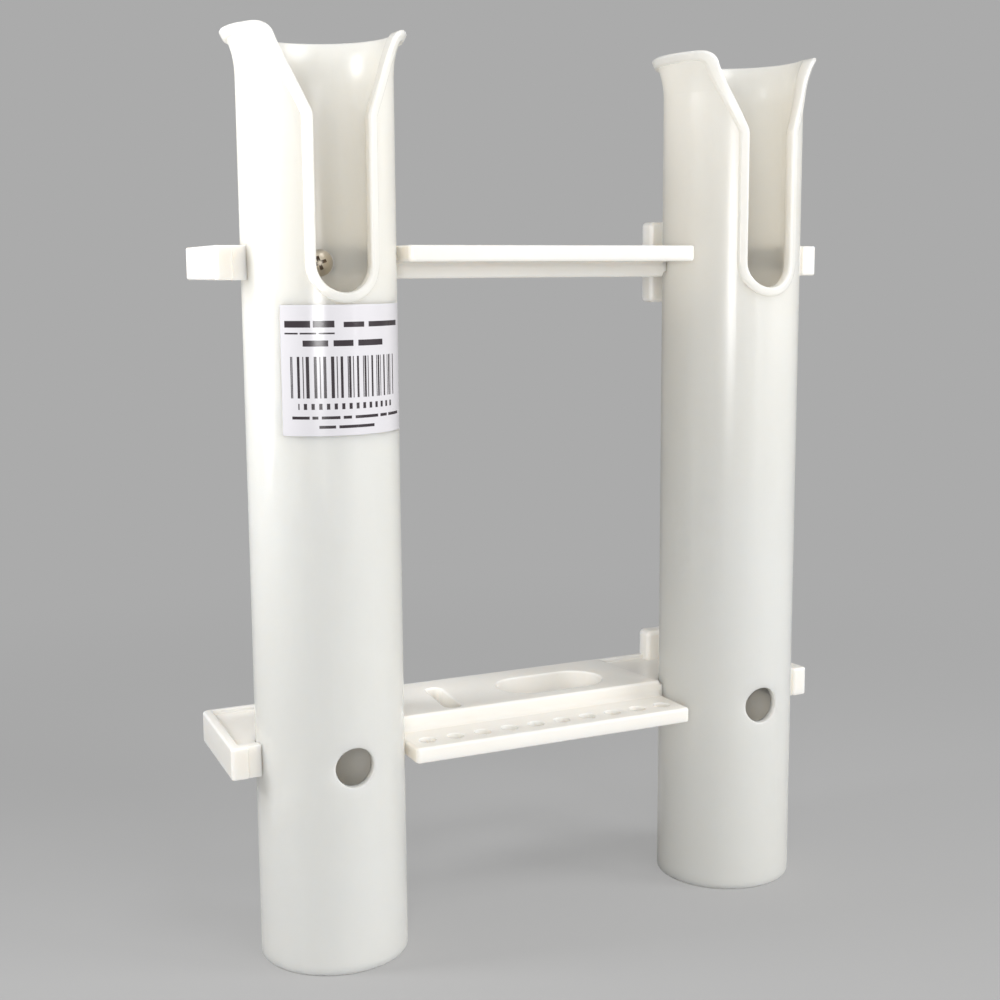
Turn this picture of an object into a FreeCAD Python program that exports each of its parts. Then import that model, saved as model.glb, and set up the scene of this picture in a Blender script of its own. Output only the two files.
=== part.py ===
import FreeCAD, Part
import math
import operator
import os

import Sketcher
from FreeCAD import Placement, Rotation, Vector

# A wall rack for two fishing rods: two moulded tubes with flared, notched mouths are screwed into
# two cross brackets. Each bracket is one moulding with a tool tray between the tubes, a lip with a
# row of lure holes, a cradle behind each tube and a wall pad behind each cradle. The upper bracket
# is the same moulding turned half round about the front-to-back axis.
# Frame: origin on the ground in the middle of the rack's width and depth, +X along the brackets,
# +Y towards the wall, +Z up. Each tube and bracket is built round the tubes' own axes and then
# moved so that those axes lie at Y = axes_back.

SIZES = [
    # the tubes
    ("tube_pitch", 152.4, "distance between the tubes' axes"),
    ("tube_height", 292, "foot to rim"),
    ("tube_outer", 48, "outside diameter"),
    ("tube_wall", 3, "wall of the tube"),
    ("floor_thick", 3, "floor the rod butt stands on"),
    ("drain_bore", 10, "drain hole in the floor"),
    ("flare_rise", 13, "height of the bell mouth"),
    ("flare_reach", 3.4, "how far the bell mouth leans out"),
    ("foot_round", 0.8, "rounding round the foot"),
    # the front slot with its V mouth
    ("slot_width", 17.2, "straight part of the slot"),
    ("slot_low", 214, "lowest point of the slot above the foot"),
    ("vee_drop", 26, "rim down to where the V meets the slot"),
    ("vee_width", 39.6, "opening of the V, measured at the rim plane"),
    ("vee_root_round", 5, "rounding where the V meets the slot"),
    ("vee_rim_round", 6, "shoulder where the V meets the rim"),
    ("bead_width", 3, "raised bead along the slot and the rim"),
    ("bead_proud", 1.1, "how far the bead stands out"),
    ("bead_round", 0.7, "rounding of the bead's edges"),
    ("access_bore", 12.6, "driver hole in front of the lower screws"),
    ("access_round", 0.4, "rounding of its outer edge"),
    # the brackets
    ("lower_level", 67.5, "middle of the lower bracket above the foot"),
    ("upper_level", 223, "middle of the upper bracket above the foot"),
    ("plate_thick", 10.4, "bracket plate"),
    ("plate_behind", 19.2, "from the back of the tubes to the wall"),
    ("tray_front", 4.5, "front of the tray behind the tube axes' line"),
    ("tray_front_gap", 0.6, "from the tube's side to the tray's raised part, at its front"),
    ("tray_back_gap", 5.4, "the same at its back"),
    ("end_front_wall", 10, "from the tube's outer side to the bracket's end, at its front"),
    ("end_back_wall", 7.1, "the same at the wall"),
    ("end_front", 4.1, "how far the bracket's ends reach in front of the tube axes' line"),
    ("horn_width", 5.8, "flat front of each end"),
    ("horn_step", 1, "the cradle's tip stands back from that flat"),
    ("cradle_gap", 0.2, "clearance round the tube in its cradle"),
    ("sink_depth", 1.6, "shallow sink in the plate behind each tube"),
    ("sink_side_rim", 3.4, "rim left outside the sink"),
    ("sink_front_rim", 4, "rim left in front of the sink"),
    ("sink_back_rim", 2, "rim left behind the sink"),
    ("lip_front", 14.8, "how far the lip reaches in front of the tube axes' line"),
    ("lip_thick", 5.2, "lip"),
    ("lip_gap", 0.3, "clearance between the lip's end and the tube"),
    ("lure_bore", 5.5, "lure holes"),
    ("lure_end", 6.9, "from the lip's end to the last lure hole"),
    ("lure_count", 10, "lure holes in the row"),
    ("lure_front", 7, "row of lure holes in front of the tube axes' line"),
    ("plier_length", 40.6, "long slot for pliers"),
    ("plier_width", 21.5, "its width"),
    ("plier_side", 15, "its middle along the bracket"),
    ("plier_back", 21.6, "its middle behind the tube axes' line"),
    ("knife_length", 26.4, "narrow slot for a knife"),
    ("knife_width", 5.8, "its width"),
    ("knife_side", 27.6, "its middle along the bracket"),
    ("knife_back", 20.4, "its middle behind the tube axes' line"),
    ("knife_lean", 5.5, "degrees that it leans"),
    ("skin_thick", 3, "top skin over the cored cells"),
    ("cell_wall", 3, "walls between the cored cells"),
    ("pad_width", 20.8, "wall pad"),
    ("pad_height", 29.6, "its height"),
    ("pad_depth", 6.2, "its depth"),
    ("wall_bore", 5.2, "wall screw holes"),
    ("wall_rise", 10, "wall screw holes above and below the bracket's middle"),
    # roundings of the brackets
    ("back_corner", 3, "upright corners at the wall"),
    ("front_corner", 1.2, "upright corners at the ends' front"),
    ("horn_corner", 0.9, "upright corners beside the cradles"),
    ("lip_corner", 1.4, "upright corners of the lip"),
    ("lip_round", 1, "front edges of the lip and the tray"),
    ("cove_round", 1.8, "hollow where the lip meets the tray"),
    ("pad_corner", 2, "corners of the wall pads"),
    ("pad_round", 1.5, "front edges of the wall pads"),
    ("sink_foot", 0.8, "hollow round the sinks' floors"),
    ("sink_round", 0.6, "edges of the sinks"),
    ("top_round", 0.8, "upper outer edges"),
    ("low_round", 0.6, "lower outer edges"),
    ("slot_round", 0.6, "edges of the tool slots"),
    ("lure_round", 0.4, "edges of the lure holes"),
    # the screws
    ("screw_angle", 19.5, "degrees from the back of the tube to each screw"),
    ("screw_shank", 4, "shank diameter"),
    ("screw_length", 16, "under the head"),
    ("screw_tip", 1.5, "length of the point"),
    ("screw_head", 8.6, "head diameter"),
    ("screw_dome", 2.7, "head height"),
    ("screw_slack", 0.2, "clearance round the shank in the tube and round the head"),
    ("drive_width", 1.1, "arm of the cross recess"),
    ("drive_span", 4.6, "across the cross recess"),
    ("drive_depth", 1.7, "depth of the cross recess"),
    # the label
    ("label_arc", 110, "degrees round the tube"),
    ("label_turn", 6.5, "degrees from the front of the tube to the label's middle"),
    ("label_low", 171.5, "lower edge above the foot"),
    ("label_height", 39, "height"),
    ("label_thick", 0.15, "thickness"),
]

doc = FreeCAD.newDocument("rod_rack")
sheet = doc.addObject("Spreadsheet::Sheet", "Sizes")
for row, (alias, number, note) in enumerate(SIZES, start=1):
    sheet.set(f"A{row}", note)
    sheet.set(f"B{row}", str(number))
    sheet.setAlias(f"B{row}", alias)
doc.recompute()

MATHS = {"+": operator.add, "-": operator.sub, "*": operator.mul, "/": operator.truediv}


class Size:
    """A length with the spreadsheet expression that gives it."""

    def __init__(self, value, text=None):
        self.value = float(value)
        self.text = text or repr(float(value))

    def joined(self, sign, other):
        other = other if isinstance(other, Size) else Size(other)
        return Size(MATHS[sign](self.value, other.value), f"({self.text} {sign} {other.text})")

    def __add__(self, other):
        return self.joined("+", other)

    def __sub__(self, other):
        return self.joined("-", other)

    def __mul__(self, other):
        return self.joined("*", other)

    def __truediv__(self, other):
        return self.joined("/", other)

    def __neg__(self):
        return Size(0).joined("-", self)

    def root(self):
        return Size(math.sqrt(self.value), f"sqrt({self.text})")

    def at_most(self, other):
        return Size(min(self.value, other.value), f"min({self.text}; {other.text})")


def size(alias):
    return Size(sheet.get(alias), f"Sizes.{alias}")


ZERO = Size(0)
half_pitch = size("tube_pitch") / 2
tube_radius = size("tube_outer") / 2
bore_radius = tube_radius - size("tube_wall")
half_plate = size("plate_thick") / 2
plate_back = tube_radius + size("plate_behind")
tray_front_half = half_pitch - tube_radius - size("tray_front_gap")
tray_back_half = half_pitch - tube_radius - size("tray_back_gap")
end_front_half = half_pitch + tube_radius + size("end_front_wall")
end_back_half = half_pitch + tube_radius + size("end_back_wall")
lip_half = half_pitch - tube_radius - size("lip_gap")
axes_back = (tube_radius + size("bead_proud") - plate_back) / 2
SIDES = {"left": -1, "right": 1}
LEVELS = {"lower": size("lower_level"), "upper": size("upper_level")}


# ---------- sketches ----------

def pin(sketch, geometry, end, x, y):
    """Hold one point of a sketch at x and y. None leaves that direction free."""
    for kind, length, axis in (("DistanceX", x, -2), ("DistanceY", y, -1)):
        if length is None:
            continue
        if length.value == 0:
            sketch.addConstraint(Sketcher.Constraint("PointOnObject", geometry, end, axis))
            continue
        index = sketch.addConstraint(Sketcher.Constraint(kind, -1, 1, geometry, end, length.value))
        sketch.setExpression(f"Constraints[{index}]", length.text)


def draw(sketch, corners):
    """Close an outline through corners (x, y), each reached by a straight line or, with a centre
    and a turn, by an arc: (x, y, centre x, centre y, turn, free), turn +1 anticlockwise, free the
    direction of the corner that the arc itself settles."""
    ends = []
    for place, corner in enumerate(corners):
        before = corners[place - 1]
        start = Vector(before[0].value, before[1].value, 0)
        stop = Vector(corner[0].value, corner[1].value, 0)
        if len(corner) == 2:
            ends.append((sketch.addGeometry(Part.LineSegment(start, stop)), 1, 2))
            continue
        centre = Vector(corner[2].value, corner[3].value, 0)
        first, last = (start, stop) if corner[4] > 0 else (stop, start)
        circle = Part.Circle(centre, Vector(0, 0, 1), (start - centre).Length)
        angles = [math.atan2(p.y - centre.y, p.x - centre.x) for p in (first, last)]
        geometry = sketch.addGeometry(Part.ArcOfCircle(circle, *angles))
        ends.append((geometry, 1, 2) if corner[4] > 0 else (geometry, 2, 1))
        pin(sketch, geometry, 3, corner[2], corner[3])
    for place, corner in enumerate(corners):
        geometry, end = ends[place][0], ends[place][2]
        after = ends[(place + 1) % len(ends)]
        sketch.addConstraint(Sketcher.Constraint("Coincident", geometry, end, after[0], after[1]))
        free = corner[5] if len(corner) > 2 else None
        pin(sketch, geometry, end, None if free == "x" else corner[0], None if free == "y" else corner[1])


def box(low_x, low_y, high_x, high_y):
    return [(low_x, low_y), (high_x, low_y), (high_x, high_y), (low_x, high_y)]


def circle(sketch, x, y, diameter):
    radius = diameter / 2
    shape = Part.Circle(Vector(x.value, y.value, 0), Vector(0, 0, 1), radius.value)
    geometry = sketch.addGeometry(shape)
    pin(sketch, geometry, 3, x, y)
    index = sketch.addConstraint(Sketcher.Constraint("Radius", geometry, radius.value))
    sketch.setExpression(f"Constraints[{index}]", radius.text)


def front_sketch(name):
    """A free sketch that stands in the XZ plane, facing the front."""
    sketch = doc.addObject("Sketcher::SketchObject", name)
    sketch.Placement = Placement(Vector(), Rotation(Vector(1, 0, 0), 90))
    return sketch


def body_sketch(body, name, role, offset=ZERO):
    """A sketch on one of a body's own origin planes, moved along the plane's normal."""
    sketch = body.newObject("Sketcher::SketchObject", name)
    plane = [part for part in body.Origin.OriginFeatures if part.Role == role][0]
    sketch.AttachmentSupport = (plane, [""])
    sketch.MapMode = "FlatFace"
    sketch.AttachmentOffset = Placement(Vector(0, 0, offset.value), Rotation())
    sketch.setExpression("AttachmentOffset.Base.z", offset.text)
    return sketch


def feature(body, kind, name, sketch, length, backwards=False):
    """A Pad or Pocket of a sketch. It must change the body's volume."""
    before = body.Shape.Volume if body.Tip else 0
    made = body.newObject(f"PartDesign::{kind}", name)
    made.Profile = sketch
    made.setExpression("Length", length.text)
    made.Reversed = backwards
    sketch.Visibility = False
    doc.recompute()
    if abs(made.Shape.Volume - before) < 0.1:
        raise ValueError(f"{name} changes nothing")
    return made


def sharp(shape, edge):
    """Whether the two faces at an edge meet at an angle. Seams and smooth joins do not."""
    faces = shape.ancestorsOfType(edge, Part.Face)
    if len(faces) != 2:
        return False
    middle = edge.valueAt(sum(edge.ParameterRange) / 2)
    normals = [face.normalAt(*face.Surface.parameter(middle)) for face in faces]
    return normals[0].getAngle(normals[1]) > math.radians(20)


def edges_where(shape, test):
    """Numbers of the sharp edges whose every point passes a test of x, y and z."""
    numbers = []
    for number, edge in enumerate(shape.Edges, start=1):
        if edge.Length < 0.001 or not all(test(p.x, p.y, p.z) for p in edge.discretize(7)):
            continue
        if sharp(shape, edge):
            numbers.append(number)
    return numbers


def round_edges(body, name, radius, test):
    """A fillet on the sharp edges of a body that pass a test."""
    base = body.Tip
    numbers = edges_where(base.Shape, test)
    if not numbers:
        raise ValueError(f"{name} finds no edge")
    made = body.newObject("PartDesign::Fillet", name)
    made.Base = (base, [f"Edge{number}" for number in numbers])
    made.setExpression("Radius", radius.text)
    doc.recompute()
    return made


def close(value, target):
    return abs(value - target) < 0.02


# ---------- tubes ----------

def flare_bend():
    """Radius of the bell mouth's outside, in section."""
    flare, reach = size("flare_rise"), size("flare_reach")
    return (flare * flare + reach * reach) / (reach * 2)


def inner_rim():
    """Radius of the bell mouth's inside at the rim."""
    flare, inner_bend = size("flare_rise"), flare_bend() + size("tube_wall")
    return tube_radius + flare_bend() - (inner_bend * inner_bend - flare * flare).root()


def tube_profile(sketch):
    """Half section of the plain tube: floor, bore, bell mouth inside and out."""
    centre_x = tube_radius + flare_bend()
    spring = size("tube_height") - size("flare_rise")
    rim_inner, rim_outer = inner_rim(), tube_radius + size("flare_reach")
    rim, floor, drain = size("tube_height"), size("floor_thick"), size("drain_bore") / 2
    draw(sketch, [
        (tube_radius, ZERO),
        (tube_radius, spring),
        (rim_outer, rim, centre_x, spring, -1, "x"),
        (rim_inner, rim),
        (bore_radius, spring, centre_x, spring, 1, "x"),
        (bore_radius, floor),
        (drain, floor),
        (drain, ZERO),
    ])


def sleeve_profile(sketch):
    """Half section of a thin sleeve over the tube's upper part, which the bead is cut from."""
    flare, reach, proud = size("flare_rise"), size("flare_reach"), size("bead_proud")
    centre_x = tube_radius + flare_bend()
    spring = size("tube_height") - flare
    outer_bend = flare_bend() - proud
    rim_outer = centre_x - (outer_bend * outer_bend - flare * flare).root()
    low = size("slot_low") - size("bead_width") * 2
    inside = tube_radius - size("tube_wall") / 2
    draw(sketch, [
        (tube_radius + proud, low),
        (tube_radius + proud, spring),
        (rim_outer, size("tube_height"), centre_x, spring, -1, "x"),
        (tube_radius + reach / 2, size("tube_height")),
        (inside, spring),
        (inside, low),
    ])


def mouth_outline(sketch, margin):
    """Front view of the slot and its V, widened by a margin: round foot, straight sides, a bend
    into the V and a shoulder that runs out level at the rim, within the tube's inside."""
    half = size("slot_width") / 2
    rim = size("tube_height")
    root_z = rim - size("vee_drop")
    run = size("vee_width") / 2 - half
    slope = (size("vee_drop") * size("vee_drop") + run * run).root()
    sine, cosine = run / slope, size("vee_drop") / slope
    # lengths from a corner to where its rounding starts: radius times the tangent of half the turn
    lean = sine / (cosine + 1)
    root_round = size("vee_root_round") - margin
    root_cut = root_round * lean
    level = (Size(1) - sine) / cosine
    room = (inner_rim() - size("bead_round") / 4 - size("vee_width") / 2) / level
    shoulder = size("vee_rim_round").at_most(room) - margin
    shoulder_cut = shoulder * level
    side = half + margin
    corner_z = root_z - margin * lean
    top = rim - margin
    top_x = half + run + margin * level
    reach_x = side + root_cut * sine
    above = rim + 5
    foot = size("slot_low") + half
    right = [
        (side, foot),
        (side, corner_z - root_cut),
        (reach_x, corner_z + root_cut * cosine, side + root_round, corner_z - root_cut, -1, "x"),
        (top_x - shoulder_cut * sine, top - shoulder_cut * cosine),
        (top_x + shoulder_cut, top, top_x + shoulder_cut, top - shoulder, -1, "y"),
        (top_x + shoulder_cut, above),
    ]
    left = [
        (-top_x - shoulder_cut, above),
        (-top_x - shoulder_cut, top),
        (shoulder_cut * sine - top_x, top - shoulder_cut * cosine, -top_x - shoulder_cut, top - shoulder, -1, "x"),
        (-reach_x, corner_z + root_cut * cosine),
        (-side, corner_z - root_cut, -side - root_round, corner_z - root_cut, -1, "x"),
        (-side, foot),
        (side, foot, ZERO, foot, 1, "x"),
    ]
    draw(sketch, right[1:] + left)


def extruded(name, sketch, length):
    made = doc.addObject("Part::Extrusion", name)
    made.Base = sketch
    made.DirMode = "Normal"
    made.setExpression("LengthFwd", length.text)
    made.Solid = True
    return made


def revolved(name, sketch):
    made = doc.addObject("Part::Revolution", name)
    made.Source = sketch
    made.Axis = Vector(0, 0, 1)
    made.Angle = 360
    made.Solid = True
    return made


def joined(kind, name, base, tool):
    made = doc.addObject(f"Part::{kind}", name)
    made.Base = base
    made.Tool = tool
    return made


def cylinder(name, radius, height, place):
    made = doc.addObject("Part::Cylinder", name)
    made.setExpression("Radius", radius.text)
    made.setExpression("Height", height.text)
    made.Placement = place
    return made


def screw_places(level):
    """Placements of one tube's two screws at a bracket: local +Z points from the wall to the
    tube's axis, and the origin is under the head, on the flat cut in the tube's bore."""
    for turn in (-1, 1):
        angle = math.radians(turn * size("screw_angle").value)
        outward = Vector(math.sin(angle), math.cos(angle), 0)
        seat = outward * bore_radius.value + Vector(0, 0, level.value)
        yield Placement(seat, Rotation(Vector(0, 0, 1), -outward))


def tube(side):
    name = f"tube_{side}"
    plain, sleeve = front_sketch(f"{name}_section"), front_sketch(f"{name}_sleeve_section")
    slot, margin = front_sketch(f"{name}_slot_outline"), front_sketch(f"{name}_bead_outline")
    tube_profile(plain)
    sleeve_profile(sleeve)
    mouth_outline(slot, ZERO)
    mouth_outline(margin, size("bead_width"))
    doc.recompute()
    depth = size("tube_outer")
    band = cylinder(f"{name}_rim_band", tube_radius * 2, size("bead_width"), Placement())
    band.setExpression("Placement.Base.z", (size("tube_height") - size("bead_width")).text)
    zone = joined("Fuse", f"{name}_bead_zone", extruded(f"{name}_bead_block", margin, depth), band)
    bead = joined("Common", f"{name}_bead", revolved(f"{name}_sleeve", sleeve), zone)
    shell = joined("Fuse", f"{name}_shell", revolved(f"{name}_plain", plain), bead)
    slotted = joined("Cut", f"{name}_slotted", shell, extruded(f"{name}_slot_block", slot, depth))
    front = Placement(Vector(0, 0, LEVELS["lower"].value), Rotation(Vector(1, 0, 0), 90))
    cuts = [cylinder(f"{name}_access", size("access_bore") / 2, depth, front)]
    slack = size("screw_slack")
    for level_name, level in LEVELS.items():
        for number, place in enumerate(screw_places(level), start=1):
            tag = f"{name}_{level_name}_{number}"
            through = place.multiply(Placement(Vector(0, 0, -2 * size("tube_wall").value), Rotation()))
            shank = size("screw_shank") / 2 + slack
            cuts.append(cylinder(f"{tag}_hole", shank, size("tube_wall") * 3, through))
            cuts.append(cylinder(f"{tag}_seat", size("screw_head") / 2 + slack, size("screw_dome"), place))
    tools = doc.addObject("Part::MultiFuse", f"{name}_cuts")
    tools.Shapes = cuts
    cut = joined("Cut", f"{name}_cut", slotted, tools)
    doc.recompute()
    for label, test, radius in tube_roundings():
        cut = filleted(f"{name}_{label}", cut, test, radius)
    cut.Label = name
    cut.setExpression("Placement.Base.x", (half_pitch * SIDES[side]).text)
    cut.setExpression("Placement.Base.y", axes_back.text)
    return cut


def filleted(name, base, test, radius):
    made = doc.addObject("Part::Fillet", name)
    made.Base = base
    made.Edges = [(number, radius.value, radius.value) for number in edges_where(base.Shape, test)]
    doc.recompute()
    return made


def skin_at(height):
    """Radius of the tube's outside at a height."""
    flare, reach = size("flare_rise").value, size("flare_reach").value
    bend = (flare * flare + reach * reach) / (reach * 2)
    up = max(height - size("tube_height").value + flare, 0)
    return tube_radius.value + bend - math.sqrt(bend * bend - up * up)


def tube_roundings():
    """Name, edge test and radius of each fillet: the bead's crest, the mouth's inner edge,
    the tube's foot and the driver hole."""
    low = size("slot_low").value - size("bead_width").value * 2
    rim = size("tube_height").value
    proud, wall = size("bead_proud").value, size("tube_wall").value

    def off_skin(least, most):
        def test(x, y, z):
            off = math.hypot(x, y) - skin_at(z)
            return z > low and (y < 0.01 or z > rim - wall * 2) and least < off < most
        return test

    def foot(x, y, z):
        return z < 0.01 and close(math.hypot(x, y), tube_radius.value)

    def driver_hole(x, y, z):
        level, reach = LEVELS["lower"].value, size("access_bore").value / 2
        return y < 0 and abs(z - level) < reach + 0.1 and close(math.hypot(x, y), tube_radius.value)

    return [
        ("crest", off_skin(proud / 2, proud * 1.2), size("bead_round")),
        ("mouth", off_skin(-wall * 1.3, -wall * 0.8), size("bead_round")),
        ("foot", foot, size("foot_round")),
        ("driver_hole", driver_hole, size("access_round")),
    ]


# ---------- brackets ----------

def mirrored(corners):
    return corners + [(-x, y) for x, y in reversed(corners)]


def oblong(length, width):
    """A slot outline with round ends, long in X, round the sketch's origin."""
    half, straight = width / 2, (length - width) / 2
    return [
        (straight, -half),
        (straight, half, straight, ZERO, 1, "y"),
        (-straight, half),
        (-straight, -half, -straight, ZERO, 1, "y"),
    ]


def slanted_sketch(body, name, x, y, z, degrees):
    """A sketch on the body's XY plane with its own origin and turn."""
    sketch = body_sketch(body, name, "XY_Plane", z)
    turn = Rotation(Vector(0, 0, 1), degrees.value)
    sketch.AttachmentOffset = Placement(Vector(x.value, y.value, z.value), turn)
    for axis, length in zip("xyz", (x, y, z)):
        sketch.setExpression(f"AttachmentOffset.Base.{axis}", length.text)
    return sketch


def bracket_roundings():
    """Name, edge test and radius of each fillet, in the order in which they are made."""
    top, back, tray = half_plate.value, plate_back.value, size("tray_front").value
    front, middle = -size("end_front").value, half_pitch.value
    end_front, end_back = end_front_half.value, end_back_half.value
    horn, slope = end_front - size("horn_width").value, (end_back - end_front) / (back - front)
    lip_end = lip_half.value
    lip_front, lip_top = -size("lip_front").value, (size("lip_thick") - half_plate).value
    sink, sink_side = top - size("sink_depth").value, tray_back_half.value - 0.1
    pad_wide, pad_high = size("pad_width").value / 2, size("pad_height").value / 2
    pad_front = back - size("pad_depth").value
    cradle, corner = (tube_radius + size("cradle_gap")).value, size("lip_corner").value * 2

    def upright(half, depth):
        return lambda x, y, z: close(abs(x), half) and close(y, depth)

    def off_cradle(x, y):
        return math.hypot(abs(x) - middle, y) > cradle + 0.05

    def outline(x, y):
        return close(y, back) or close(y, front) or close(abs(x), end_front + slope * (y - front))

    def lip_edge(x, y):
        return y < tray - 0.1 and (y < lip_front + corner or close(abs(x), lip_end))

    def slots(x, y, z):
        return close(z, top) and abs(x) < sink_side - 0.4 and tray + 0.5 < y < back - 0.5

    def pad_fronts(x, y, z):
        rise, hole = size("wall_rise").value, size("wall_bore").value / 2 + 0.1
        off_hole = math.hypot(abs(x) - middle, abs(z) - rise) > hole
        return close(y, pad_front) and abs(z) > top + 0.5 and off_hole

    def sink_edges(x, y, z):
        notch = close(abs(x), horn) and y < front + size("horn_step").value + 0.01
        inner = off_cradle(x, y) and not outline(x, y) and abs(x) > sink_side and not notch
        on_pad = close(abs(abs(x) - middle), pad_wide)
        return close(z, top) and inner and y > front + size("horn_step").value + 0.1 and not on_pad

    return [
        ("slot_edges", slots, size("slot_round")),
        ("back_corners", upright(end_back, back), size("back_corner")),
        ("front_corners", upright(end_front, front), size("front_corner")),
        ("horn_corners", upright(horn, front), size("horn_corner")),
        ("lip_corners", upright(lip_end, lip_front), size("lip_corner")),
        ("lip_top_edge", lambda x, y, z: close(z, lip_top) and lip_edge(x, y), size("lip_round")),
        ("lip_low_edge", lambda x, y, z: close(z, -top) and lip_edge(x, y), size("low_round")),
        ("cove", None, None),
        ("pad_corners",
         lambda x, y, z: close(abs(abs(x) - middle), pad_wide) and close(abs(z), pad_high), size("pad_corner")),
        ("pad_fronts", pad_fronts, size("pad_round")),
        ("sink_floors", lambda x, y, z: close(z, sink) and off_cradle(x, y), size("sink_foot")),
        ("tray_edge", lambda x, y, z: close(y, tray) and close(z, top), size("lip_round")),
        ("sink_edges", sink_edges, size("sink_round")),
        ("top_edges", lambda x, y, z: close(z, top) and outline(x, y), size("top_round")),
        ("low_edges", lambda x, y, z: close(z, -top) and outline(x, y), size("low_round")),
    ]


def add_cove(body, name):
    """The hollow rounding between the lip and the tray's front, as far as the lip is flat."""
    radius, tray = size("cove_round"), size("tray_front")
    low = size("lip_thick") - half_plate
    reach = lip_half - size("lip_round")
    sketch = body_sketch(body, f"{name}_cove_outline", "YZ_Plane", -reach)
    draw(sketch, [
        (tray, low),
        (tray, low + radius),
        (tray - radius, low, tray - radius, low + radius, -1, "y"),
    ])
    feature(body, "Pad", f"{name}_cove", sketch, reach * 2)


def bracket(level_name):
    """One bracket, built about the middle of its plate with the tubes' axes on y = 0."""
    name = f"bracket_{level_name}"
    body = doc.addObject("PartDesign::Body", name)
    thick, back, tray = size("plate_thick"), plate_back, size("tray_front")
    front, horn = -size("end_front"), end_front_half - size("horn_width")
    tip = front + size("horn_step")
    inside_out, inside_in = half_pitch + tube_radius / 2, half_pitch - tube_radius / 2
    cradle = tube_radius + size("cradle_gap")

    plate = body_sketch(body, f"{name}_plate_outline", "XY_Plane", -half_plate)
    draw(plate, mirrored([
        (end_back_half, back),
        (end_front_half, front),
        (horn, front),
        (horn, tip),
        (inside_out, tip),
        (inside_in, tray),
    ]))
    feature(body, "Pad", f"{name}_plate", plate, thick)

    lip = body_sketch(body, f"{name}_lip_outline", "XY_Plane", -half_plate)
    draw(lip, box(-lip_half, -size("lip_front"), lip_half, tray + 1))
    feature(body, "Pad", f"{name}_lip", lip, size("lip_thick"))

    sink = body_sketch(body, f"{name}_sink_outline", "XY_Plane", half_plate)
    sink_back = back - size("sink_back_rim")
    right = [
        (tray_front_half, tray - 1),
        (tray_back_half, sink_back),
        (end_back_half - size("sink_side_rim"), sink_back),
        (end_front_half - size("sink_side_rim"), front + size("sink_front_rim")),
        (inside_out, front + size("sink_front_rim")),
        (inside_in, tray - 1),
    ]
    draw(sink, right)
    draw(sink, [(-x, y) for x, y in right])
    feature(body, "Pocket", f"{name}_sinks", sink, size("sink_depth"))

    pads = body_sketch(body, f"{name}_pad_outlines", "XZ_Plane", -back)
    half_wide, half_high = size("pad_width") / 2, size("pad_height") / 2
    for middle in (-half_pitch, half_pitch):
        draw(pads, box(middle - half_wide, -half_high, middle + half_wide, half_high))
        for rise in (-size("wall_rise"), size("wall_rise")):
            circle(pads, middle, rise, size("wall_bore"))
    feature(body, "Pad", f"{name}_pads", pads, size("pad_depth"))

    cradles = body_sketch(body, f"{name}_cradle_outlines", "XY_Plane", half_plate)
    for middle in (-half_pitch, half_pitch):
        circle(cradles, middle, ZERO, cradle * 2)
    feature(body, "Pocket", f"{name}_cradles", cradles, thick)

    plier = slanted_sketch(
        body, f"{name}_plier_outline", size("plier_side"), size("plier_back"), half_plate, ZERO
    )
    draw(plier, oblong(size("plier_length"), size("plier_width")))
    feature(body, "Pocket", f"{name}_plier_slot", plier, thick)

    knife = slanted_sketch(
        body, f"{name}_knife_outline", -size("knife_side"), size("knife_back"), half_plate,
        Size(90) - size("knife_lean"),
    )
    draw(knife, oblong(size("knife_length"), size("knife_width")))
    feature(body, "Pocket", f"{name}_knife_slot", knife, thick)

    for label, test, radius in bracket_roundings():
        if label == "cove":
            add_cove(body, name)
        else:
            round_edges(body, f"{name}_{label}", radius, test)

    cells = body_sketch(body, f"{name}_cell_outlines", "XY_Plane", -half_plate)
    wall = size("cell_wall")
    knife_reach = size("knife_width") / 2 + wall * 1.5
    spans = [
        (wall - tray_back_half, -size("knife_side") - knife_reach),
        (knife_reach - size("knife_side"), size("plier_side") - size("plier_length") / 2 - wall),
        (size("plier_side") + size("plier_length") / 2 + wall, tray_back_half - wall),
    ]
    rib = (tray + back) / 2
    for low_x, high_x in spans:
        draw(cells, box(low_x, tray + wall, high_x, rib - wall / 2))
        draw(cells, box(low_x, rib + wall / 2, high_x, back - wall))
    feature(body, "Pocket", f"{name}_cells", cells, thick - size("skin_thick"), True)

    for middle in (-half_pitch, half_pitch):
        for turn in (-1, 1):
            angle = math.radians(turn * size("screw_angle").value)
            outward = Vector(math.sin(angle), math.cos(angle), 0)
            hole = body.newObject("PartDesign::SubtractiveCylinder", f"{name}_pilot")
            hole.setExpression("Radius", (size("screw_shank") / 2).text)
            hole.setExpression("Height", (bore_radius + size("screw_length") + 0.5 - tube_radius / 2).text)
            start = Vector(middle.value, 0, 0) + outward * (tube_radius.value / 2)
            hole.Placement = Placement(start, Rotation(Vector(0, 0, 1), outward))
    doc.recompute()

    lure = body_sketch(body, f"{name}_lure_outline", "XY_Plane", size("lip_thick") - half_plate)
    row = (lip_half - size("lure_end")) * 2
    circle(lure, row / -2, -size("lure_front"), size("lure_bore"))
    hole = feature(body, "Pocket", f"{name}_lure_hole", lure, size("lip_thick"))
    pattern = body.newObject("PartDesign::LinearPattern", f"{name}_lure_holes")
    pattern.Originals = [hole]
    pattern.Direction = (lure, ["H_Axis"])
    pattern.setExpression("Length", row.text)
    pattern.setExpression("Occurrences", size("lure_count").text)
    body.Tip = pattern
    doc.recompute()
    lip_top, rim = (size("lip_thick") - half_plate).value, size("lure_bore").value / 2 + 0.1

    def lure_rim(x, y, z):
        return close(z, lip_top) and abs(y + size("lure_front").value) < rim

    round_edges(body, f"{name}_lure_rims", size("lure_round"), lure_rim)
    return body


# ---------- screws ----------

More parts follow.
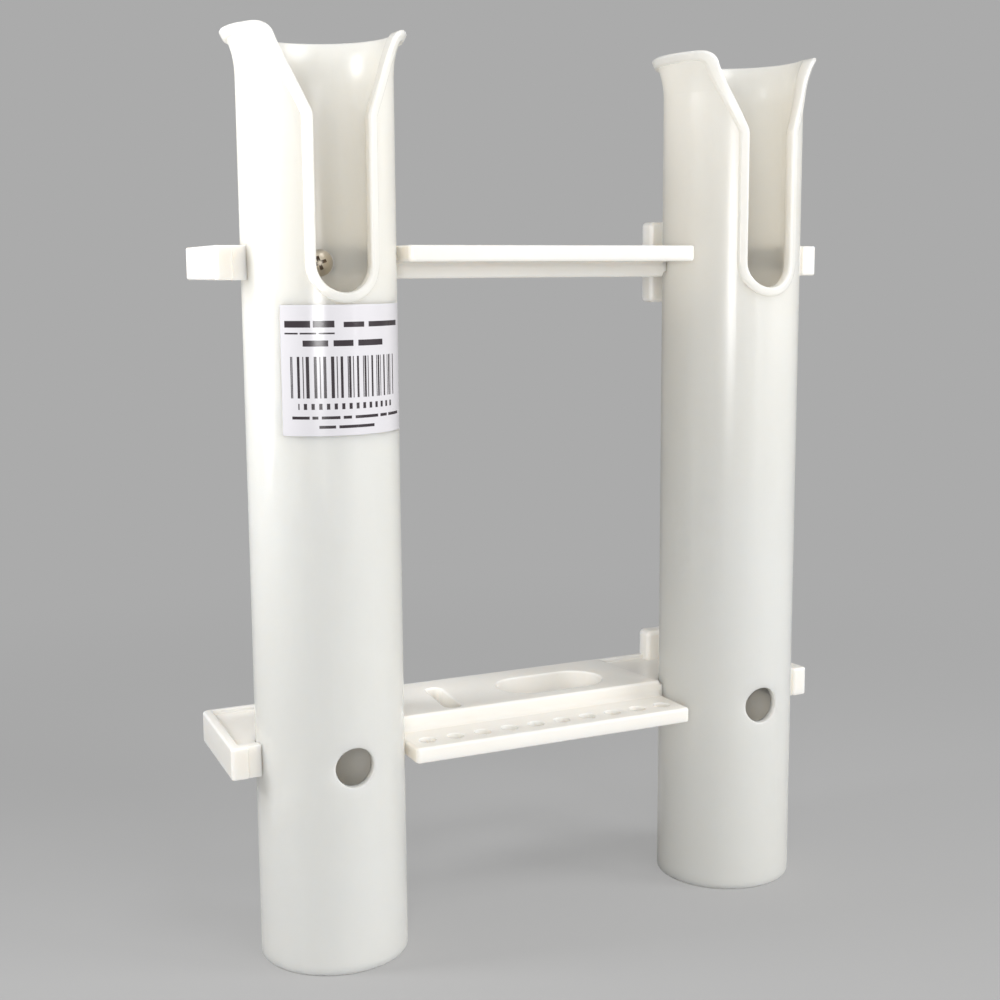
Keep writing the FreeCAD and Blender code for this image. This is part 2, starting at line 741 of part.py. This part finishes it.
def screw(name, shift, place):
    """A pan head screw with a cross recess, its origin under the head and its head towards +Z."""
    body = doc.addObject("PartDesign::Body", name)
    head, dome, shank = size("screw_head") / 2, size("screw_dome"), size("screw_shank") / 2
    side = dome / 3
    centre = (dome * dome - side * side - head * head) / ((dome - side) * 2)
    profile = body_sketch(body, f"{name}_profile", "XZ_Plane")
    draw(profile, [
        (head, ZERO),
        (head, side),
        (ZERO, dome, ZERO, centre, 1, "y"),
        (ZERO, -size("screw_length")),
        (shank, size("screw_tip") - size("screw_length")),
        (shank, ZERO),
    ])
    turned = body.newObject("PartDesign::Revolution", f"{name}_turned")
    turned.Profile = profile
    turned.ReferenceAxis = (profile, ["V_Axis"])
    turned.Angle = 360
    doc.recompute()
    drive = body_sketch(body, f"{name}_drive_outline", "XY_Plane", dome)
    arm, reach = size("drive_width") / 2, size("drive_span") / 2
    draw(drive, [
        (reach, -arm), (reach, arm), (arm, arm), (arm, reach), (-arm, reach), (-arm, arm),
        (-reach, arm), (-reach, -arm), (-arm, -arm), (-arm, -reach), (arm, -reach), (arm, -arm),
    ])
    feature(body, "Pocket", f"{name}_drive", drive, size("drive_depth"))
    body.Placement = Placement(Vector(shift.value, axes_back.value, 0), Rotation()).multiply(place)
    return body


# ---------- label ----------

def label():
    """A thin label wrapped round the left tube."""
    start = size("label_turn").value - 90 - size("label_arc").value / 2
    turn = Placement(Vector(), Rotation(Vector(0, 0, 1), start))
    outer = cylinder("label_outer", tube_radius + size("label_thick"), size("label_height"), turn)
    inner = cylinder("label_inner", tube_radius, size("label_height"), turn)
    for part in (outer, inner):
        part.setExpression("Angle", size("label_arc").text)
    made = joined("Cut", "label", outer, inner)
    made.setExpression("Placement.Base.x", (half_pitch * SIDES["left"]).text)
    made.setExpression("Placement.Base.y", axes_back.text)
    made.setExpression("Placement.Base.z", size("label_low").text)
    return made


# ---------- assembly ----------

nodes = {}
for side in SIDES:
    nodes[f"tube_{side}"] = tube(side)
for level_name, level in LEVELS.items():
    made = bracket(level_name)
    half_turn = 180 if level_name == "upper" else 0
    middle = Vector(0, axes_back.value, level.value)
    made.Placement = Placement(middle, Rotation(Vector(0, 1, 0), half_turn))
    nodes[f"bracket_{level_name}"] = made
    for side, sign in SIDES.items():
        for number, place in enumerate(screw_places(level), start=1):
            name = f"screw_{side}_{level_name}_{number}"
            nodes[name] = screw(name, half_pitch * sign, place)
nodes["label"] = label()
doc.recompute()

for obj in doc.Objects:
    if "Invalid" in obj.State or "Error" in obj.State:
        raise RuntimeError(f"{obj.Name} is {obj.State}")
os.makedirs("parts", exist_ok=True)
for name, node in nodes.items():
    node.Label = name
    if node.Shape.isNull() or not node.Shape.isValid() or len(node.Shape.Solids) != 1:
        raise RuntimeError(f"{name} is not one sound solid")
    node.Shape.exportStep(f"parts/{name}.step")
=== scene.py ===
from math import cos, radians, sin
import bpy
from mathutils import Matrix, Vector

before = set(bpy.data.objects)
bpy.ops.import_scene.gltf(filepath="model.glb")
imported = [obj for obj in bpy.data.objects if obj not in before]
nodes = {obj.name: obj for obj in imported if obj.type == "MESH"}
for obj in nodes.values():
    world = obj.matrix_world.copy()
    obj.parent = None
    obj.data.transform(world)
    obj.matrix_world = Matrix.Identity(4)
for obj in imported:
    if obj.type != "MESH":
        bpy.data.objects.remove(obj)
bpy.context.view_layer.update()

bpy.ops.object.select_all(action="DESELECT")
print("frame loaded:", len(nodes), "nodes")


def linearColour(hexCode):  # sRGB hex to the linear values that a shader reads
    channels = [int(hexCode[i:i + 2], 16) / 255 for i in (1, 3, 5)]
    linear = [c / 12.92 if c <= 0.04045 else ((c + 0.055) / 1.055) ** 2.4 for c in channels]
    return (*linear, 1.0)


def addNode(tree, kind, settings=None, values=None, links=None):
    """kind of node, its properties, its input values and what feeds its inputs"""
    node = tree.nodes.new(kind)
    for name, value in (settings or {}).items():
        setattr(node, name, value)
    for socket, value in (values or {}).items():
        node.inputs[socket].default_value = value
    for socket, source in (links or {}).items():
        tree.links.new(source, node.inputs[socket])
    return node


def newMaterial(name):
    material = bpy.data.materials.new(name)
    material.use_nodes = True
    tree = material.node_tree
    tree.nodes.clear()
    return material, tree


camera = {
    "place": (-0.2322, -0.4642, 0.2198),
    "heading": 25.83,  # degrees from +Y towards +X
    "down": 8.48,
    "roll": -0.352,
    "lens": 54.86,
    "shiftX": -0.0074,
    "shiftY": -0.001,
}

cameraData = bpy.data.cameras.new("camera")
cameraData.lens = camera["lens"]
cameraData.sensor_width = 36
cameraData.shift_x = camera["shiftX"]
cameraData.shift_y = camera["shiftY"]
cameraData.clip_start = 0.01
cameraObject = bpy.data.objects.new("camera", cameraData)
bpy.context.scene.collection.objects.link(cameraObject)
cameraObject.location = camera["place"]
cameraObject.rotation_euler = (radians(90 - camera["down"]), 0, radians(-camera["heading"]))
cameraObject.rotation_euler.rotate_axis("Z", radians(camera["roll"]))
bpy.context.scene.camera = cameraObject
print("camera set")

plastic = {
    "colours": {"tube": ("#F6F0E5", "#EFE8DA"), "bracket": ("#F1EFEB", "#EBE8E1")},
    "cloudScale": 14,  # clouds about 70 mm across
    "roughness": (0.2, 0.28),
    "grainScale": 700,  # grain of 1.4 mm, drawn coarser than the real skin
    "ior": 1.49,
    "depthShare": 1.0,
    "depthColours": (1.0, 0.93, 0.85),
    "depth": {"tube": 0.012, "bracket": 0.004},
    "rippleScale": 60,
    "rippleHeight": 0.00004,
    "pins": ((-0.0412, 0.0107), (-0.0126, 0.0101)),  # ejector pins under the tray's skin
    "pinRadius": 0.0026,
    "pinWidth": 0.0003,
    "pinHeight": 0.00006,
}


def mouldedPlastic(piece):
    # glossy, milky and a little warm in depth, its skin softly rippled by the mould
    material, tree = newMaterial(f"white polypropylene, injection moulded, {piece}")
    clear, deep = plastic["colours"][piece]
    place = addNode(tree, "ShaderNodeTexCoord").outputs["Object"]
    cloud = addNode(
        tree, "ShaderNodeTexNoise", values={"Scale": plastic["cloudScale"], "Detail": 2.0}, links={"Vector": place},
    )
    colour = addNode(
        tree, "ShaderNodeMix", {"data_type": "RGBA"},
        values={6: linearColour(clear), 7: linearColour(deep)},
        links={0: cloud.outputs["Fac"]},
    )
    grain = addNode(
        tree, "ShaderNodeTexNoise", values={"Scale": plastic["grainScale"], "Detail": 3.0}, links={"Vector": place},
    )
    sheen = addNode(
        tree, "ShaderNodeMapRange",
        values={"To Min": plastic["roughness"][0], "To Max": plastic["roughness"][1]},
        links={"Value": grain.outputs["Fac"]},
    )
    ripple = addNode(
        tree, "ShaderNodeTexNoise", values={"Scale": plastic["rippleScale"], "Detail": 1.0}, links={"Vector": place},
    )
    bump = addNode(
        tree, "ShaderNodeBump", values={"Strength": 1.0, "Distance": plastic["rippleHeight"]},
        links={"Height": ripple.outputs["Fac"]},
    )
    flat = addNode(tree, "ShaderNodeVectorMath", {"operation": "MULTIPLY"}, {1: (1, 1, 0)}, {0: place})
    for x, y in plastic["pins"]:
        reach = addNode(tree, "ShaderNodeVectorMath", {"operation": "DISTANCE"}, {1: (x, y, 0)}, {0: flat.outputs[0]})
        ring = addNode(
            tree, "ShaderNodeMath", {"operation": "COMPARE"},
            {1: plastic["pinRadius"], 2: plastic["pinWidth"]}, {0: reach.outputs["Value"]},
        )
        bump = addNode(
            tree, "ShaderNodeBump", values={"Strength": 1.0, "Distance": plastic["pinHeight"]},
            links={"Height": ring.outputs[0], "Normal": bump.outputs["Normal"]},
        )
    shader = addNode(
        tree, "ShaderNodeBsdfPrincipled",
        values={
            "IOR": plastic["ior"],
            "Subsurface Weight": plastic["depthShare"],
            "Subsurface Radius": plastic["depthColours"],
            "Subsurface Scale": plastic["depth"][piece],
        },
        links={
            "Base Color": colour.outputs[2],
            "Roughness": sheen.outputs["Result"],
            "Normal": bump.outputs["Normal"],
        },
    )
    addNode(tree, "ShaderNodeOutputMaterial", links={"Surface": shader.outputs["BSDF"]})
    return material


steel = {
    "colour": "#D8D0C2",
    "paintedShadeColour": "#3A3026",
    "paintedShadeReach": 0.0016,
    "roughness": (0.3, 0.5),
    "grainScale": 1500,  # grain of 0.7 mm
}


def screwSteel():
    # dull and pale, so that the head takes the tube's colour; its recess is darkened with painted shade
    material, tree = newMaterial("stainless steel, cold headed and tumbled")
    place = addNode(tree, "ShaderNodeTexCoord").outputs["Object"]
    grain = addNode(
        tree, "ShaderNodeTexNoise", values={"Scale": steel["grainScale"], "Detail": 2.0}, links={"Vector": place},
    )
    sheen = addNode(
        tree, "ShaderNodeMapRange",
        values={"To Min": steel["roughness"][0], "To Max": steel["roughness"][1]},
        links={"Value": grain.outputs["Fac"]},
    )
    # painted shade: occlusion within a short reach mixes the head's colour towards dark brown in the recess
    shade = addNode(tree, "ShaderNodeAmbientOcclusion", {"only_local": True}, {"Distance": steel["paintedShadeReach"]})
    deep = addNode(
        tree, "ShaderNodeMapRange", values={"From Min": 0.45, "From Max": 0.9}, links={"Value": shade.outputs["AO"]},
    )
    colour = addNode(
        tree, "ShaderNodeMix", {"data_type": "RGBA"},
        values={6: linearColour(steel["paintedShadeColour"]), 7: linearColour(steel["colour"])},
        links={0: deep.outputs["Result"]},
    )
    shader = addNode(
        tree, "ShaderNodeBsdfPrincipled", values={"Metallic": 1.0},
        links={"Base Color": colour.outputs[2], "Roughness": sheen.outputs["Result"]},
    )
    addNode(tree, "ShaderNodeOutputMaterial", links={"Surface": shader.outputs["BSDF"]})
    return material


film = {
    "colour": "#D9D7DB",
    "ink": "#3A3438",
    "roughness": 0.22,
    "axis": (-0.0762, -0.00905),  # of the tube under the label
    "radius": 24.15,  # mm
    "leftEdge": -138.5,  # degrees round the axis
    "marks": [  # plain rules in place of print: from, to along the arc, low, high, all mm
        (1.4, 9.4, 203.8, 205.8), (10.2, 16.6, 203.8, 205.8), (19.4, 26.2, 203.8, 205.4), (27.8, 43, 203.8, 205.4),
        (1.4, 5.6, 201.8, 202.3), (6.2, 11.2, 201.8, 202.3), (11.8, 16.6, 201.8, 202.3),
        (7, 14.6, 198.2, 200), (16.2, 22.4, 198.2, 200), (24, 33.6, 198.2, 200),
        (3.2, 8.6, 176.5, 177.4), (9.4, 11.2, 176.5, 177.4), (12.2, 17.8, 176.5, 177.4), (18.8, 21.4, 176.5, 177.4),
        (22.6, 31, 176.5, 177.4), (32, 35.2, 176.5, 177.4), (36, 43, 176.5, 177.4),
        (11.4, 16.4, 173.7, 174.6), (17.4, 29.4, 173.7, 174.6),
    ],
    "combs": [  # evenly spaced strokes: the same four, then pitch and stroke
        (3, 39.6, 182.8, 195.2, 2.6, 0.7), (3, 39.6, 182.8, 195.2, 1.7, 0.3), (5.2, 38.6, 179.4, 181.2, 2.3, 1.0),
    ],
}


def labelFilm():
    # satin white film with dull black print
    material, tree = newMaterial("vinyl label film, printed")

    def maths(operation, first, *others):
        values = {place: other for place, other in enumerate(others, start=1)}
        return addNode(tree, "ShaderNodeMath", {"operation": operation}, values, {0: first}).outputs[0]

    def both(operation, first, second):
        return addNode(tree, "ShaderNodeMath", {"operation": operation}, links={0: first, 1: second}).outputs[0]

    place = addNode(tree, "ShaderNodeTexCoord").outputs["Object"]
    parts = addNode(tree, "ShaderNodeSeparateXYZ", links={"Vector": place}).outputs
    aside, ahead = maths("SUBTRACT", parts[0], film["axis"][0]), maths("SUBTRACT", parts[1], film["axis"][1])
    turn = maths("SUBTRACT", both("ARCTAN2", ahead, aside), radians(film["leftEdge"]))
    along, up = maths("MULTIPLY", turn, film["radius"]), maths("MULTIPLY", parts[2], 1000)

    def patch(low, high, bottom, top):
        across = maths("COMPARE", along, (low + high) / 2, (high - low) / 2)
        return both("MULTIPLY", across, maths("COMPARE", up, (bottom + top) / 2, (top - bottom) / 2))

    masks = [patch(*mark) for mark in film["marks"]]
    for *mark, pitch, stroke in film["combs"]:
        teeth = maths("LESS_THAN", maths("FLOORED_MODULO", along, pitch), stroke)
        masks.append(both("MULTIPLY", patch(*mark), teeth))
    ink = masks[0]
    for mask in masks[1:]:
        ink = both("MAXIMUM", ink, mask)
    colour = addNode(
        tree, "ShaderNodeMix", {"data_type": "RGBA"},
        values={6: linearColour(film["colour"]), 7: linearColour(film["ink"])}, links={0: ink},
    )
    shader = addNode(
        tree, "ShaderNodeBsdfPrincipled", values={"Roughness": film["roughness"]},
        links={"Base Color": colour.outputs[2]},
    )
    addNode(tree, "ShaderNodeOutputMaterial", links={"Surface": shader.outputs["BSDF"]})
    return material


finishes = {
    "tube": mouldedPlastic("tube"),
    "bracket": mouldedPlastic("bracket"),
    "screw": screwSteel(),
    "label": labelFilm(),
}
for name, node in nodes.items():
    for slot in node.material_slots:
        slot.material = finishes[name.split("_")[0]]
print("finishes given")

studio = {
    "backdrop": "#ABABAB",
    "floorGlow": 0.7,  # share of the floor's colour that doesn't depend on the lamps
    "fadeReach": 0.6,  # distance at which the floor has become the backdrop
    "worldLevel": 0.28,
    "lamps": [  # name, place, aim, width, height, watts
        ("left softbox", (-0.26, 0.03, 0.27), (-0.09, -0.01, 0.22), 0.06, 0.26, 0.6),
        ("right softbox", (0.55, -0.45, 0.42), (0.0, 0, 0.22), 0.25, 0.3, 2.9),
        ("front softbox", (-0.29, -0.54, 0.235), (0.02, 0, 0.22), 0.14, 0.14, 1.3),
        ("top softbox", (0.05, -0.42, 0.75), (0.0, 0, 0.1), 0.3, 0.2, 1.6),
        ("strip lamp", (0.185, -0.42, 0.24), (0, 0, 0.22), 0.006, 0.34, 0.1),
    ],
}


def backdropFinish():
    material, tree = newMaterial("matt painted card")
    ray = addNode(tree, "ShaderNodeLightPath")
    diffuse = addNode(tree, "ShaderNodeBsdfDiffuse", values={"Color": linearColour("#C8C8C8")})
    glow = addNode(tree, "ShaderNodeEmission", values={"Color": linearColour(studio["backdrop"]), "Strength": 1.0})
    place = addNode(tree, "ShaderNodeTexCoord")
    reach = addNode(tree, "ShaderNodeVectorMath", {"operation": "LENGTH"}, links={0: place.outputs["Object"]})
    fade = addNode(
        tree, "ShaderNodeMapRange", {"interpolation_type": "SMOOTHSTEP"},
        {"From Min": 0.12, "From Max": studio["fadeReach"], "To Min": studio["floorGlow"], "To Max": 1.0},
        {"Value": reach.outputs["Value"]},
    )
    seenFloor = addNode(
        tree, "ShaderNodeMixShader",
        links={0: fade.outputs["Result"], 1: diffuse.outputs["BSDF"], 2: glow.outputs["Emission"]},
    )
    mix = addNode(
        tree, "ShaderNodeMixShader",
        links={0: ray.outputs["Is Camera Ray"], 1: diffuse.outputs["BSDF"], 2: seenFloor.outputs["Shader"]},
    )
    addNode(tree, "ShaderNodeOutputMaterial", links={"Surface": mix.outputs["Shader"]})
    return material


bpy.ops.mesh.primitive_plane_add(size=12, location=(0, 0, 0))
floor = bpy.context.active_object
floor.name = "floor"
floor.data.materials.append(backdropFinish())

world = bpy.data.worlds.new("studio")
bpy.context.scene.world = world
world.use_nodes = True
tree = world.node_tree
tree.nodes.clear()
ray = addNode(tree, "ShaderNodeLightPath")
air = addNode(tree, "ShaderNodeBackground", values={"Color": (1, 1, 1, 1), "Strength": studio["worldLevel"]})
seen = addNode(tree, "ShaderNodeBackground", values={"Color": linearColour(studio["backdrop"]), "Strength": 1.0})
mix = addNode(
    tree, "ShaderNodeMixShader",
    links={0: ray.outputs["Is Camera Ray"], 1: air.outputs["Background"], 2: seen.outputs["Background"]},
)
addNode(tree, "ShaderNodeOutputWorld", links={"Surface": mix.outputs["Shader"]})

for name, place, aim, width, height, watts in studio["lamps"]:
    lampData = bpy.data.lights.new(name, "AREA")
    lampData.shape = "RECTANGLE"
    lampData.size = width
    lampData.size_y = height
    lampData.energy = watts
    lamp = bpy.data.objects.new(name, lampData)
    bpy.context.scene.collection.objects.link(lamp)
    lamp.location = place
    lamp.rotation_euler = (Vector(aim) - Vector(place)).to_track_quat("-Z", "Y").to_euler()
bpy.context.scene.view_settings.view_transform = "Standard"
print("studio lit")
